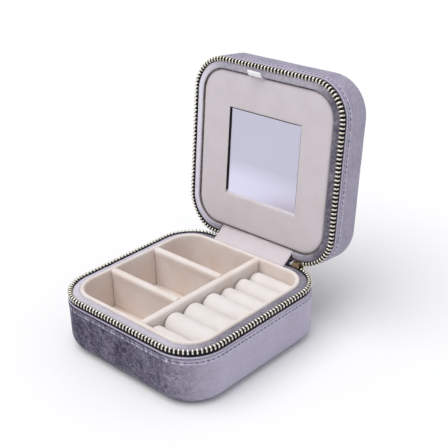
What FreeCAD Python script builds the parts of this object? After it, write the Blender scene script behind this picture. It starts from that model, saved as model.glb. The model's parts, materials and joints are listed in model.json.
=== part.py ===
import FreeCAD, Part
import math
import os

# Travel jewellery case: a soft-covered base and lid that zip together, a lined tray with dividers
# and ring rolls, and a mirror flap inside the lid. Millimetres; the origin is the centre of the
# underside, +Z is up, +Y points at the hinge and -Y is the opening side.
# The lid is drawn closed and then turned open about the hinge line.

Vector = FreeCAD.Vector

# Driving dimensions
WIDTH = 100.0              # outside, left to right
DEPTH = 100.0              # outside, front to back
PARTING = 31.0             # height of the zip line, where base and lid meet
LID_HEIGHT = 22.0          # from the zip line to the top of the closed lid
CORNER = 20.5              # outside corner radius seen from above
BASE_EDGE = 7.6            # rounding under the base
LID_EDGE = 4.0             # rounding on top of the lid
LID_OPEN = 96.3            # how far the lid stands open at rest, degrees
GAP = 0.1                  # ordinary clearance between separate pieces
TOLERANCE = 1e-4
BEYOND = 5.0               # how far cutting blocks run past the piece they cut

# Outer skin, core board and zip, as insets from the outer wall and distances from the zip line
COVER_THICKNESS = 1.0
COVER_EDGE = 2.6           # distance from the zip line to the cover's edge
BOARD_INSET = 1.6
BOARD_THICKNESS = 1.2
BOARD_EDGE = 2.9
TAPE_INSET = 1.08
TAPE_THICKNESS = 0.42
TAPE_BACK = 8.0            # how far the tape reaches in behind the cover
LIP_INSET = 0.42           # the tape steps outwards to a lip that carries the teeth
LIP_THICKNESS = 0.46
LIP_DROP = 0.95            # distance from the zip line to the lip's edge
LIP_RISE = 0.6             # height over which the tape steps outwards
STEP_OUTER = 2.55          # distance from the zip line to the foot of the step, outside and inside
STEP_INNER = 2.3
STITCH_LINE = 6.2
STITCH_PITCH = 2.7
STITCH_LENGTH = 1.9
STITCH_WIDTH = 0.35
STITCH_SUNK = 0.03         # the stitch starts this far outside the nominal wall
STITCH_PROUD = 0.35

TOOTH_PITCH = 2.2
TOOTH_WIDTH = 0.95
TOOTH_OUTER = 1.4          # outer radius of the hooked tooth
TOOTH_INNER = 0.6
TOOTH_INSET = 0.55         # centre of the hook
TOOTH_DROP = 0.85
TOOTH_START = -10.0        # where the hook starts, degrees above straight outwards
TOOTH_SWEEP = 130.0

# Rim band, tray and dividers
BAND_INSET = 1.7
BAND_INNER = 6.0
BAND_DROP = 0.25           # inner edge of the band, below the zip line
BAND_THICKNESS = 1.15
BAND_SHOULDER_INSET = 2.7
BAND_SHOULDER_DROP = 0.7
BAND_EDGE_DROP = 1.7       # outer edge of the band, below the zip line
BAND_EDGE_THICKNESS = 0.5
TRAY_INSET = 6.2
TRAY_WALL = 2.3
TRAY_TOP = PARTING + 0.7
TRAY_BOTTOM = 2.9
TRAY_FLOOR = 9.5
FLOOR_THICKNESS = 1.5
DIVIDER_THICKNESS = 4.3
DIVIDER_TOP = PARTING + 0.5
LONG_DIVIDER_X = 8.95
CROSS_DIVIDER_Y = 15.5
ROLL_SHARES = (1.0, 1.2, 1.3, 1.25, 1.05, 1.1, 1.0)    # soft rolls of unequal thickness, front to back
ROLL_PLUMPNESS = (1.18, 1.15, 1.0, 1.0, 1.0, 1.0, 1.0)    # height of each roll over its width
ROLL_GAP = 0.16
RING_BED_TOP = 15.5

# Mirror flap, at distances above the zip line when closed
PANEL_INSET = 6.9
PANEL_FACE = 1.2
PANEL_THICKNESS = 3.0
WINDOW = 48.2
WINDOW_DEPTH = 1.1
MIRROR = 52.0
MIRROR_THICKNESS = 1.0
BACKING_THICKNESS = 0.7
TAB_LEFT = -10.6
TAB_WIDTH = 9.0
TAB_THICKNESS = 0.4
TAB_GAP = 0.35             # between the rim band's inner edge and the tab
TAB_BEND = 0.3             # where the tab starts to lean out, below the zip line
TAB_REACH = 2.8            # how far its end reaches over the band
TAB_DROP = 2.2             # its end, below the zip line

# Lid lining and the frame that the flap closes against
LINING_INSET = 2.9
LINING_THICKNESS = 0.5
LINING_EDGE = 1.4
FRAME_INNER = 9.5
FRAME_THICKNESS = 1.5

# Hinge
STRIP_WIDTH = 50.0
STRIP_THICKNESS = 0.5
STRIP_DEPTH = 6.0          # how far the strip runs down behind the tray
STRIP_SIDE_GAP = 0.6       # between the strip and the ends of the rim bands
SPINE_WIDTH = 50.0
SPINE_THICKNESS = 0.65
SPINE_SIDE_GAP = 0.3       # between the spine and the ends of the zip
SPINE_INSET = 0.05

# Zip slider, parked at the start of the right back corner, and its pull
SLIDER_LENGTH = 7.0
SLIDER_BAY = 4.3           # half the stretch of zip that the parked slider takes up
MOUTH_TEETH = 2            # lid teeth next to the parked slider, which it pushes aside as it starts
PULL_PIN_RADIUS = 0.47
PULL_BORE_RADIUS = 0.55
PULL_WIDTH = 5.0
PULL_LENGTH = 17.0
PULL_THICKNESS = 0.8

# Derived places
HALF_W = WIDTH / 2
HALF_D = DEPTH / 2
CENTRE_X = HALF_W - CORNER         # the corner arcs are centred here
CENTRE_Y = HALF_D - CORNER
TOP = PARTING + LID_HEIGHT
HINGE = Vector(0, HALF_D, PARTING)
TRAY_INNER = TRAY_INSET + TRAY_WALL
TRAY_HALF = HALF_W - TRAY_INNER
OUTLINE_LENGTH = 4 * CENTRE_X + 4 * CENTRE_Y + 2 * math.pi * CORNER


# ---------------------------------------------------------------- general shapes

def box(x0, x1, y0, y1, z0, z1):
    return Part.makeBox(x1 - x0, y1 - y0, z1 - z0, Vector(x0, y0, z0))


def edges_along(solid, axis):
    """Straight edges of a block that run along an axis, given as x, y or z."""
    return [e for e in solid.Edges if abs(getattr(e.tangentAt(e.FirstParameter), axis)) > 0.9]


def plan_prism(inset, z0, z1):
    """The case's rounded-square outline, inset, as a prism."""
    radius = CORNER - inset
    solid = box(-HALF_W + inset, HALF_W - inset, -HALF_D + inset, HALF_D - inset, z0, z1)
    return solid.makeFillet(radius, edges_along(solid, "z"))


def edges_at(solid, z):
    return [e for e in solid.Edges if all(abs(v.Z - z) < TOLERANCE for v in e.Vertexes)]


def bowl(inset, bottom, top, wall, edge):
    """An open-topped shell that follows the outline, with a rounded bottom edge."""
    outer = plan_prism(inset, bottom, top)
    outer = outer.makeFillet(edge, edges_at(outer, bottom))
    inner = plan_prism(inset + wall, bottom + wall, top + BEYOND)
    inner = inner.makeFillet(edge - wall, edges_at(inner, bottom + wall))
    return outer.cut(inner)


def ring(edges):
    """Sweep a section round the outline. The section's edges are drawn in the XZ plane, where
    x is the inset from the outer wall and z is the height."""
    face = Part.Face(Part.Wire(edges))
    face.translate(Vector(-CORNER, 0, 0))
    face.rotate(Vector(), Vector(0, 0, 1), 180)
    pieces = []
    for quarter, (side_x, side_y) in enumerate(((1, 1), (-1, 1), (-1, -1), (1, -1))):
        x, y = side_x * CENTRE_X, side_y * CENTRE_Y
        start = face.copy()
        start.rotate(Vector(), Vector(0, 0, 1), 90 * quarter)
        start.translate(Vector(x, y, 0))
        pieces.append(start.revolve(Vector(x, y, 0), Vector(0, 0, 1), 90))
        end = start.copy()
        end.rotate(Vector(x, y, 0), Vector(0, 0, 1), 90)
        along_x = quarter % 2 == 0
        length = 2 * CENTRE_X if along_x else 2 * CENTRE_Y
        heading = math.radians(90 * quarter + 180)
        pieces.append(end.extrude(Vector(math.cos(heading), math.sin(heading), 0) * length))
    return pieces[0].multiFuse(pieces[1:]).removeSplitter()


def polygon(points):
    corners = [Vector(inset, 0, z) for inset, z in points]
    return [Part.makeLine(a, b) for a, b in zip(corners, corners[1:] + corners[:1])]


def round_topped(inset, wall, z0, z1):
    """Section of an upright wall with a half-round top."""
    radius = wall / 2
    shoulder = z1 - radius
    a, b = Vector(inset, 0, z0), Vector(inset + wall, 0, z0)
    c, d = Vector(inset + wall, 0, shoulder), Vector(inset, 0, shoulder)
    crown = Part.Arc(c, Vector(inset + radius, 0, z1), d).toShape()
    return [Part.makeLine(a, b), Part.makeLine(b, c), crown, Part.makeLine(d, a)]


def outline_at(distance):
    """Place on the outer wall and direction outwards, in degrees, a distance anticlockwise
    from the middle of the back."""
    distance %= OUTLINE_LENGTH
    heading = 90.0
    x, y = 0.0, HALF_D
    stretches = [("line", CENTRE_X)]
    for side in (CENTRE_Y, CENTRE_X, CENTRE_Y):
        stretches += [("arc", CORNER * math.pi / 2), ("line", 2 * side)]
    stretches += [("arc", CORNER * math.pi / 2), ("line", CENTRE_X)]
    for kind, length in stretches:
        step = min(distance, length)
        turn = math.radians(heading)
        if kind == "line":
            x -= step * math.sin(turn)
            y += step * math.cos(turn)
        else:
            end = turn + step / CORNER
            x += CORNER * (math.cos(end) - math.cos(turn))
            y += CORNER * (math.sin(end) - math.sin(turn))
            heading += math.degrees(step / CORNER)
        distance -= step
        if distance <= 0:
            break
    return Vector(x, y, 0), heading


def places_between(start, end, pitch):
    return int((end - start) // pitch) + 1


def row_along_outline(piece, start, pitch, indices):
    """Copies of a piece, drawn pointing outwards along +X at the wall, at an even pitch."""
    copies = []
    for index in indices:
        place, heading = outline_at(start + index * pitch)
        copy = piece.copy()
        copy.rotate(Vector(), Vector(0, 0, 1), heading)
        copy.translate(place)
        copies.append(copy)
    return Part.makeCompound(copies)


def mirrored(shape):
    """The same piece on the lid's side of the zip line."""
    return shape.mirror(Vector(0, 0, PARTING), Vector(0, 0, 1))


def opened(shape):
    """Turn a piece of the closed lid to where it stands at rest."""
    turned = shape.copy()
    turned.rotate(HINGE, Vector(1, 0, 0), -LID_OPEN)
    return turned


def without_back_middle(shape, half_width):
    return shape.cut(box(-half_width, half_width, 0, HALF_D + BEYOND, -BEYOND, TOP + BEYOND))


# ---------------------------------------------------------------- zip and rim, drawn for the base

ZIP_START = SPINE_WIDTH / 2 + SPINE_SIDE_GAP
TEETH_START = ZIP_START + TOOTH_WIDTH
TEETH_END = OUTLINE_LENGTH - CENTRE_X - SLIDER_BAY


def zip_tape():
    """The tape runs up inside the cover's edge and steps outwards to the teeth."""
    low = PARTING - TAPE_BACK
    inner = TAPE_INSET + TAPE_THICKNESS
    lip_inner = LIP_INSET + LIP_THICKNESS
    section = polygon([
        (TAPE_INSET, low), (inner, low),
        (inner, PARTING - STEP_INNER), (lip_inner, PARTING - STEP_INNER + LIP_RISE),
        (lip_inner, PARTING - LIP_DROP), (LIP_INSET, PARTING - LIP_DROP),
        (LIP_INSET, PARTING - STEP_OUTER + LIP_RISE), (TAPE_INSET, PARTING - STEP_OUTER),
    ])
    return without_back_middle(ring(section), ZIP_START)


def zip_tooth():
    """A hook that grips the tape's edge: part of a ring, seen along the zip."""
    tooth = Part.makeCylinder(TOOTH_OUTER, TOOTH_WIDTH, Vector(), Vector(0, 0, 1), TOOTH_SWEEP)
    tooth = tooth.cut(Part.makeCylinder(TOOTH_INNER, 3 * TOOTH_WIDTH, Vector(0, 0, -TOOTH_WIDTH)))
    tooth.rotate(Vector(), Vector(0, 0, 1), TOOTH_START)
    tooth.rotate(Vector(), Vector(1, 0, 0), 90)
    tooth.translate(Vector(-TOOTH_INSET, TOOTH_WIDTH / 2, PARTING - TOOTH_DROP))
    return tooth


def base_teeth():
    count = places_between(TEETH_START, TEETH_END, TOOTH_PITCH)
    return row_along_outline(zip_tooth(), TEETH_START, TOOTH_PITCH, range(count))


def lid_teeth(at_mouth):
    """The lid's row, half a pitch along so that the rows mesh when closed. Its last teeth, at
    the mouth of the parked slider, are a piece of their own."""
    start = TEETH_START + TOOTH_PITCH / 2
    count = places_between(start, TEETH_END, TOOTH_PITCH)
    fixed = count - MOUTH_TEETH
    indices = range(fixed, count) if at_mouth else range(fixed)
    return mirrored(row_along_outline(zip_tooth(), start, TOOTH_PITCH, indices))


def stitching():
    length, width = STITCH_LENGTH / 2, STITCH_WIDTH / 2
    stitch = box(STITCH_SUNK, STITCH_PROUD, -length, length, -width, width)
    stitch.translate(Vector(0, 0, PARTING - STITCH_LINE))
    count = places_between(ZIP_START, OUTLINE_LENGTH - ZIP_START, STITCH_PITCH)
    return row_along_outline(stitch, ZIP_START, STITCH_PITCH, range(count))


def rim_band():
    """The flat covered rim between the zip and the tray, turned down at its outer edge."""
    section = polygon([
        (BAND_INSET, PARTING - BAND_EDGE_DROP - BAND_EDGE_THICKNESS),
        (BAND_INSET, PARTING - BAND_EDGE_DROP),
        (BAND_SHOULDER_INSET, PARTING - BAND_SHOULDER_DROP),
        (BAND_INNER, PARTING - BAND_DROP),
        (BAND_INNER, PARTING - BAND_DROP - BAND_THICKNESS),
        (BAND_SHOULDER_INSET, PARTING - BAND_SHOULDER_DROP - BAND_THICKNESS),
    ])
    return without_back_middle(ring(section), STRIP_WIDTH / 2 + STRIP_SIDE_GAP)


# ---------------------------------------------------------------- base

def base_cover():
    return bowl(0, 0, PARTING - COVER_EDGE, COVER_THICKNESS, BASE_EDGE)


def base_board():
    low = COVER_THICKNESS + GAP
    return bowl(BOARD_INSET, low, PARTING - BOARD_EDGE, BOARD_THICKNESS, BASE_EDGE - BOARD_THICKNESS)


def tray_wall():
    return ring(round_topped(TRAY_INSET, TRAY_WALL, TRAY_BOTTOM, TRAY_TOP))


def tray_floor():
    return plan_prism(TRAY_INNER + GAP, TRAY_FLOOR - FLOOR_THICKNESS, TRAY_FLOOR)


def tray_underlay():
    return plan_prism(TRAY_INNER + GAP, TRAY_BOTTOM, TRAY_FLOOR - FLOOR_THICKNESS - GAP)


def upright_board(length, thickness, z0, z1):
    """A padded divider along X with a half-round top, centred on Y."""
    edges = round_topped(-thickness / 2, thickness, z0, z1)
    face = Part.Face(Part.Wire(edges))
    face.rotate(Vector(), Vector(0, 0, 1), 90)
    return face.extrude(Vector(length, 0, 0))


def long_divider():
    board = upright_board(2 * (TRAY_HALF - GAP), DIVIDER_THICKNESS, TRAY_FLOOR + GAP, DIVIDER_TOP)
    board.rotate(Vector(), Vector(0, 0, 1), 90)
    board.translate(Vector(LONG_DIVIDER_X, -TRAY_HALF + GAP, 0))
    return board


def cross_divider(y):
    left = -TRAY_HALF + GAP
    right = LONG_DIVIDER_X - DIVIDER_THICKNESS / 2 - GAP
    board = upright_board(right - left, DIVIDER_THICKNESS, TRAY_FLOOR + GAP, DIVIDER_TOP)
    board.translate(Vector(left, y, 0))
    return board


RING_LEFT = LONG_DIVIDER_X + DIVIDER_THICKNESS / 2 + GAP


def ring_bed():
    bed = plan_prism(TRAY_INNER + GAP, TRAY_FLOOR + GAP, RING_BED_TOP)
    return bed.common(box(RING_LEFT, HALF_W, -HALF_D, HALF_D, 0, TOP))


def ring_roll(index):
    """The rolls lie on the ring bed and fill the tray's depth between them."""
    share_depth = 2 * TRAY_HALF / sum(ROLL_SHARES)
    width = share_depth * ROLL_SHARES[index]
    y = -TRAY_HALF + share_depth * sum(ROLL_SHARES[:index]) + width / 2
    half_width = (width - ROLL_GAP) / 2
    half_height = half_width * ROLL_PLUMPNESS[index]
    section = Part.Ellipse(Vector(0, 0, 0), half_height, half_width)
    end = Part.Face(Part.Wire(section.toShape()))
    roll = end.extrude(Vector(0, 0, -HALF_W))
    roll.rotate(Vector(0, 0, 0), Vector(0, 1, 0), -90)
    roll.translate(Vector(RING_LEFT, y, RING_BED_TOP + GAP + half_height))
    return roll.common(plan_prism(TRAY_INNER + GAP, 0, TOP))


# ---------------------------------------------------------------- lid, drawn closed

def lid_cover():
    shell = bowl(0, 0, LID_HEIGHT - COVER_EDGE, COVER_THICKNESS, LID_EDGE)
    return upside_down(shell)


def lid_board():
    top = LID_HEIGHT - BOARD_EDGE
    low = COVER_THICKNESS + GAP
    shell = bowl(BOARD_INSET, low, top, BOARD_THICKNESS, LID_EDGE - BOARD_THICKNESS)
    return upside_down(shell)


def lid_lining():
    start = COVER_THICKNESS + GAP + BOARD_THICKNESS + GAP
    top = LID_HEIGHT - BOARD_EDGE - GAP
    return upside_down(bowl(LINING_INSET, start, top, LINING_THICKNESS, LINING_EDGE))


def upside_down(shape):
    """A bowl drawn from the floor up becomes the lid, hanging down from its top."""
    turned = shape.mirror(Vector(), Vector(0, 0, 1))
    turned.translate(Vector(0, 0, TOP))
    return turned


def lid_frame():
    low = PARTING + PANEL_FACE + PANEL_THICKNESS + 3 * GAP
    high = low + FRAME_THICKNESS
    outer = LINING_INSET + LINING_THICKNESS + GAP
    return ring(polygon([(outer, low), (FRAME_INNER, low), (FRAME_INNER, high), (outer, high)]))


def lid_zip_tape():
    """The tape stops short of the zip line where the parked slider sits."""
    end = CENTRE_X + SLIDER_BAY + MOUTH_TEETH * TOOTH_PITCH
    bay = box(0, end, HALF_D - BEYOND, HALF_D + BEYOND, PARTING, PARTING + COVER_EDGE)
    return mirrored(zip_tape()).cut(bay)


# ---------------------------------------------------------------- mirror flap, drawn closed

FACE_Z = PARTING + PANEL_FACE
POCKET_Z = FACE_Z + WINDOW_DEPTH


def square(side, z0, z1):
    return box(-side / 2, side / 2, -side / 2, side / 2, z0, z1)


def mirror_panel():
    panel = plan_prism(PANEL_INSET, FACE_Z, FACE_Z + PANEL_THICKNESS)
    panel = panel.cut(square(WINDOW, FACE_Z - BEYOND, FACE_Z + BEYOND))
    return panel.cut(square(MIRROR + 2 * GAP, POCKET_Z, POCKET_Z + BEYOND))


def mirror_glass():
    return square(MIRROR, POCKET_Z + GAP / 2, POCKET_Z + GAP / 2 + MIRROR_THICKNESS)


def mirror_backing():
    low = POCKET_Z + MIRROR_THICKNESS + GAP
    return square(MIRROR, low, low + BACKING_THICKNESS)


def pull_tab():
    """A ribbon that comes out between the panel and the rim band and leans out over the band."""
    root = -HALF_D + BAND_INNER + TAB_GAP
    root_inside = root + TAB_THICKNESS
    back = PARTING + PANEL_FACE + PANEL_THICKNESS
    tip = -HALF_D + BAND_INNER - TAB_REACH
    tip_z = PARTING - TAB_DROP
    bend_z = PARTING - TAB_BEND
    places = [
        (root, back), (root, bend_z), (tip, tip_z), (tip, tip_z - TAB_THICKNESS),
        (root_inside, bend_z - TAB_THICKNESS / 2), (root_inside, back),
    ]
    corners = [Vector(TAB_LEFT, y, z) for y, z in places]
    face = Part.Face(Part.makePolygon(corners + corners[:1]))
    return face.extrude(Vector(TAB_WIDTH, 0, 0))


# ---------------------------------------------------------------- hinge fabric, drawn at rest

def from_side(points, width):
    """A solid with a section in the YZ plane, centred on X."""
    corners = [Vector(-width / 2, y, z) for y, z in points]
    face = Part.Face(Part.makePolygon(corners + corners[:1]))
    return face.extrude(Vector(width, 0, 0))


def at_rest(y, z):
    """Where a point of the closed lid, given from the hinge line, is at rest."""
    cosine = math.cos(math.radians(LID_OPEN))
    sine = math.sin(math.radians(LID_OPEN))
    return HALF_D + y * cosine + z * sine, PARTING - y * sine + z * cosine


def hinge_strip():
    """The lining strip from the back of the tray up to the lower edge of the flap."""
    tray_y = HALF_D - TRAY_INSET + 1.5 * GAP
    back_y = tray_y + STRIP_THICKNESS
    low = PARTING - STRIP_DEPTH
    fold = PARTING + STRIP_THICKNESS / 2
    end_y, end_z = at_rest(-TRAY_INSET - 2 * GAP, PANEL_FACE + STRIP_THICKNESS)
    return from_side([
        (tray_y, low), (back_y, low), (back_y, fold - 2 * GAP),
        (end_y + 3 * GAP, end_z - STRIP_THICKNESS + GAP), (end_y, end_z), (tray_y, fold),
    ], STRIP_WIDTH)


def spine():
    """The cover's outer fold, from the base's edge over the hinge line to the lid's edge."""
    low = PARTING - COVER_EDGE + GAP
    outer = HALF_D - SPINE_INSET
    inner = outer - SPINE_THICKNESS
    lid_edge = COVER_EDGE - GAP
    lid_inner = -SPINE_INSET - SPINE_THICKNESS
    return from_side([
        (inner, low), (outer, low), (outer, PARTING - GAP),
        at_rest(-SPINE_INSET, lid_edge), at_rest(lid_inner, lid_edge), at_rest(lid_inner, SPINE_THICKNESS),
        (inner, PARTING + 2 * GAP),
    ], SPINE_WIDTH)


# ---------------------------------------------------------------- zip slider and pull

CROWN_AXIS = Vector(0, HALF_D + 2.85, PARTING - 2.3)
CROWN_HALF_WIDTH = 1.5
CROWN_HALF_HEIGHT = 1.1
CROWN_REACH = 0.8          # from the pull's axis to the crown's outer face
CROWN_EDGE = 0.7
OUTER_PLATE_FACE = 2.0     # faces of the slider's plates, measured out from the wall
OUTER_PLATE_BACK = 1.05
OUTER_PLATE_LOW = 2.8      # below the zip line
OUTER_PLATE_HIGH = 0.9     # above the zip line
OUTER_PLATE_CORNER = 1.2
INNER_PLATE_FACE = -1.4
INNER_PLATE_BACK = -2.0
INNER_PLATE_LOW = 0.8
INNER_PLATE_HALF = 2.2
BRIDGE_HALF = 1.5
BRIDGE_LOW = 0.62          # above the zip line
BRIDGE_HIGH = 1.1


def slider_body():
    """Outer and inner plates joined over the zip line, with a crown for the pull."""
    half = SLIDER_LENGTH / 2
    face = HALF_D + OUTER_PLATE_FACE
    low = PARTING - OUTER_PLATE_LOW
    high = PARTING + BRIDGE_HIGH
    outer = box(-half, half, HALF_D + OUTER_PLATE_BACK, face, low, PARTING + OUTER_PLATE_HIGH)
    outer = outer.makeFillet(OUTER_PLATE_CORNER, edges_along(outer, "y"))
    back = HALF_D + INNER_PLATE_BACK
    inner_face = HALF_D + INNER_PLATE_FACE
    inner = box(-INNER_PLATE_HALF, INNER_PLATE_HALF, back, inner_face, PARTING - INNER_PLATE_LOW, high)
    bridge = box(-BRIDGE_HALF, BRIDGE_HALF, back, face, PARTING + BRIDGE_LOW, high)
    crown_low = CROWN_AXIS.z - CROWN_HALF_HEIGHT
    crown_high = CROWN_AXIS.z + CROWN_HALF_HEIGHT
    crown_face = CROWN_AXIS.y + CROWN_REACH
    crown = box(-CROWN_HALF_WIDTH, CROWN_HALF_WIDTH, face - GAP, crown_face, crown_low, crown_high)
    front_edges = [e for e in edges_along(crown, "x") if abs(e.Vertexes[0].Y - crown_face) < GAP]
    crown = crown.makeFillet(CROWN_EDGE, front_edges)
    body = outer.multiFuse([inner, bridge, crown]).removeSplitter()
    start = CROWN_AXIS - Vector(BEYOND, 0, 0)
    body = body.cut(Part.makeCylinder(PULL_BORE_RADIUS, 2 * BEYOND, start, Vector(1, 0, 0)))
    body.translate(Vector(CENTRE_X, 0, 0))
    return body


ARM_INNER = 1.6            # the pull's two arms, measured out from its middle
ARM_OUTER = 2.3
NECK_DROP = 2.2            # from the pin down to where the arms join the tongue
TONGUE_CORNER = 1.6
SLOT_RADIUS = 1.0
SLOT_FROM_END = 3.0        # from the free end to the centre of the slot's lower end
SLOT_RUN = 6.0             # between the centres of the slot's two ends


def slider_pull():
    """A stamped pull: a pin through the crown, two arms and a hanging tongue with a slot."""
    axis = CROWN_AXIS
    along_x = Vector(1, 0, 0)
    pin = Part.makeCylinder(PULL_PIN_RADIUS, 2 * ARM_OUTER, axis - along_x * ARM_OUTER, along_x)
    y0 = axis.y - PULL_THICKNESS / 2
    y1 = axis.y + PULL_THICKNESS / 2
    neck = axis.z - NECK_DROP
    end = neck - PULL_LENGTH
    arm = box(ARM_INNER, ARM_OUTER, y0, y1, neck - PULL_THICKNESS / 2, axis.z + PULL_THICKNESS / 2)
    other_arm = arm.mirror(Vector(), along_x)
    tongue = box(-PULL_WIDTH / 2, PULL_WIDTH / 2, y0, y1, end, neck)
    tongue = tongue.makeFillet(TONGUE_CORNER, edges_along(tongue, "y"))
    pull = tongue.multiFuse([pin, arm, other_arm]).removeSplitter()
    slot_low = end + SLOT_FROM_END
    slot_high = slot_low + SLOT_RUN
    pull = pull.cut(box(-SLOT_RADIUS, SLOT_RADIUS, y0 - BEYOND, y1 + BEYOND, slot_low, slot_high))
    for z in (slot_low, slot_high):
        slot_end = Part.makeCylinder(SLOT_RADIUS, 2 * BEYOND, Vector(0, y0 - BEYOND, z), Vector(0, 1, 0))
        pull = pull.cut(slot_end)
    pull.translate(Vector(CENTRE_X, 0, 0))
    return pull


# ---------------------------------------------------------------- the whole case

def all_nodes():
    nodes = {
        "base_cover": base_cover(),
        "base_core_board": base_board(),
        "base_rim_band": rim_band(),
        "base_zip_tape": zip_tape(),
        "base_zip_teeth": base_teeth(),
        "base_stitching": stitching(),
        "tray_wall": tray_wall(),
        "tray_floor": tray_floor(),
        "tray_underlay": tray_underlay(),
        "long_divider": long_divider(),
        "cross_divider_front": cross_divider(-CROSS_DIVIDER_Y),
        "cross_divider_back": cross_divider(CROSS_DIVIDER_Y),
        "ring_bed": ring_bed(),
        "hinge_strip": hinge_strip(),
        "spine": spine(),
        "slider_body": slider_body(),
        "slider_pull": slider_pull(),
        "lid_cover": opened(lid_cover()),
        "lid_core_board": opened(lid_board()),
        "lid_rim_band": opened(mirrored(rim_band())),
        "lid_zip_tape": opened(lid_zip_tape()),
        "lid_zip_teeth": opened(lid_teeth(at_mouth=False)),
        "lid_zip_mouth_teeth": opened(lid_teeth(at_mouth=True)),
        "lid_stitching": opened(mirrored(stitching())),
        "lid_lining": opened(lid_lining()),
        "lid_frame": opened(lid_frame()),
        "mirror_panel": opened(mirror_panel()),
        "mirror_glass": opened(mirror_glass()),
        "mirror_backing": opened(mirror_backing()),
        "pull_tab": opened(pull_tab()),
    }
    for index in range(len(ROLL_SHARES)):
        nodes["ring_roll_%d" % (index + 1)] = ring_roll(index)
    return nodes


os.makedirs("parts", exist_ok=True)
for name, shape in all_nodes().items():
    shape.exportStep("parts/%s.step" % name)
    state = "valid" if shape.isValid() else "INVALID"
    print(name, len(shape.Solids), "solid(s)", round(shape.Volume, 1), "mm3", state)
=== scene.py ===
import json
import math

import bmesh
import bpy
from mathutils import Matrix, Vector, noise


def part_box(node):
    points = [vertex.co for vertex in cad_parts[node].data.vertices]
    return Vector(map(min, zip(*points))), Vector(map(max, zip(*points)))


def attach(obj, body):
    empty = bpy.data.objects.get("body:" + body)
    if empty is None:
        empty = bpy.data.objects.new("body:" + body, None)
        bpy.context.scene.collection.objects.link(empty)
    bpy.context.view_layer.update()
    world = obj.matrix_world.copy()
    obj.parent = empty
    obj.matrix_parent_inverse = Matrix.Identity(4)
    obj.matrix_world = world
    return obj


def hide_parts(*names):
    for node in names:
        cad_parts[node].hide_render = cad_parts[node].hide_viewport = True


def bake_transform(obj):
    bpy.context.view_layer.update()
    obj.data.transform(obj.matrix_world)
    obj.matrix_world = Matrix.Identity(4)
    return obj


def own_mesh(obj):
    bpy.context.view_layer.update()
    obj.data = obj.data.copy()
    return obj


# Travel jewellery case in lavender velvet with a cream lining. Shapes are worked out in millimetres
# in the row frame; the lid's are built closed and then turned open about the lid hinge.

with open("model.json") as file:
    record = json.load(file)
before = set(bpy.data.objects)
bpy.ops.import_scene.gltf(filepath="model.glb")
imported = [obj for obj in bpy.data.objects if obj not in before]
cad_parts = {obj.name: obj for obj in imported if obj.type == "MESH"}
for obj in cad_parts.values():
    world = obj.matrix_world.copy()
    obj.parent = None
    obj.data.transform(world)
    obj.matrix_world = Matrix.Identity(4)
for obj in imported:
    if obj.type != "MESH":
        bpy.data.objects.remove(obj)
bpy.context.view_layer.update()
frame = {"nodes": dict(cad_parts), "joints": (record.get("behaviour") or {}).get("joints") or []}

MM = 0.001
CORNER = 20.5              # outside corner radius seen from above
BASE_EDGE = 7.6            # rounding under the base
LID_EDGE = 4.0             # rounding on top of the lid
COVER_THICKNESS = 1.0
STITCH_LINE = 6.2          # distance of the stitch row from the zip line
STITCH_PITCH = 2.7
FLECK_LINE = 5.7           # painted highlights on the pile beside the stitches
FLECK_REACH = 0.6
FOLD_LINE = 4.25           # crease under the cover's rolled edge
TOOTH_PITCH = 2.2
FLAT_INSET = CORNER - 2.5  # where the flats of lid and base close in towards their middle
BASE_SIDE = -1             # which way a shell runs from the zip line
LID_SIDE = 1


# ---- places taken from the frame

joints = {joint["name"]: joint for joint in frame["joints"]}
hinge_joint = joints["lid_hinge"]
HINGE = Vector(hinge_joint["pos_m"]) / MM
OPEN_TURN = Matrix.Rotation(-math.radians(hinge_joint["range_deg"][0]), 4, Vector(hinge_joint["axis"]))
OPENED = Matrix.Translation(HINGE) @ OPEN_TURN @ Matrix.Translation(-HINGE)
CLOSED = OPENED.inverted()


def box_mm(node):
    low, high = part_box(node)
    return low / MM, high / MM


def closed_box(node):
    """A lid node's box as it lies when the lid is closed."""
    points = [CLOSED @ (vertex.co / MM) for vertex in frame["nodes"][node].data.vertices]
    low = Vector([min(point[axis] for point in points) for axis in range(3)])
    high = Vector([max(point[axis] for point in points) for axis in range(3)])
    return low, high


PARTING = HINGE.z
HALF = box_mm("base_cover")[1].x
CENTRE = HALF - CORNER
BASE_DEPTH = PARTING
LID_DEPTH = closed_box("lid_cover")[1].z - PARTING
OUTLINE = 8 * CENTRE + 2 * math.pi * CORNER
SPINE_HALF = box_mm("spine")[1].x
STRIP_HALF = box_mm("hinge_strip")[1].x
ZIP_START = SPINE_HALF + 0.3


# ---- the outline and sweeps round it

def wall_place(distance):
    """Point on the outer wall and the direction outwards, a distance anticlockwise from mid-back."""
    side = 2 * CENTRE
    quarter, along = divmod(distance + CENTRE, side + CORNER * math.pi / 2)
    if along < side:
        point = Vector((CENTRE - along, HALF))
        out = Vector((0, 1))
    else:
        angle = (along - side) / CORNER
        out = Vector((-math.sin(angle), math.cos(angle)))
        point = Vector((-CENTRE, CENTRE)) + out * CORNER
    turn = Matrix.Rotation(quarter * math.pi / 2, 2)
    return turn @ point, turn @ out


def outward(x, y):
    """Direction outwards of the wall nearest to a place in the rim."""
    across = Vector((x - max(-CENTRE, min(CENTRE, x)), y - max(-CENTRE, min(CENTRE, y))))
    return across.normalized() if across.length > 1e-6 else Vector((0, 0))


def places_round(spacing):
    count = round(OUTLINE / spacing)
    return [OUTLINE * index / count for index in range(count)]


def places_between(start, end, spacing):
    count = max(2, round((end - start) / spacing))
    return [start + (end - start) * index / count for index in range(count + 1)]


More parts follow.
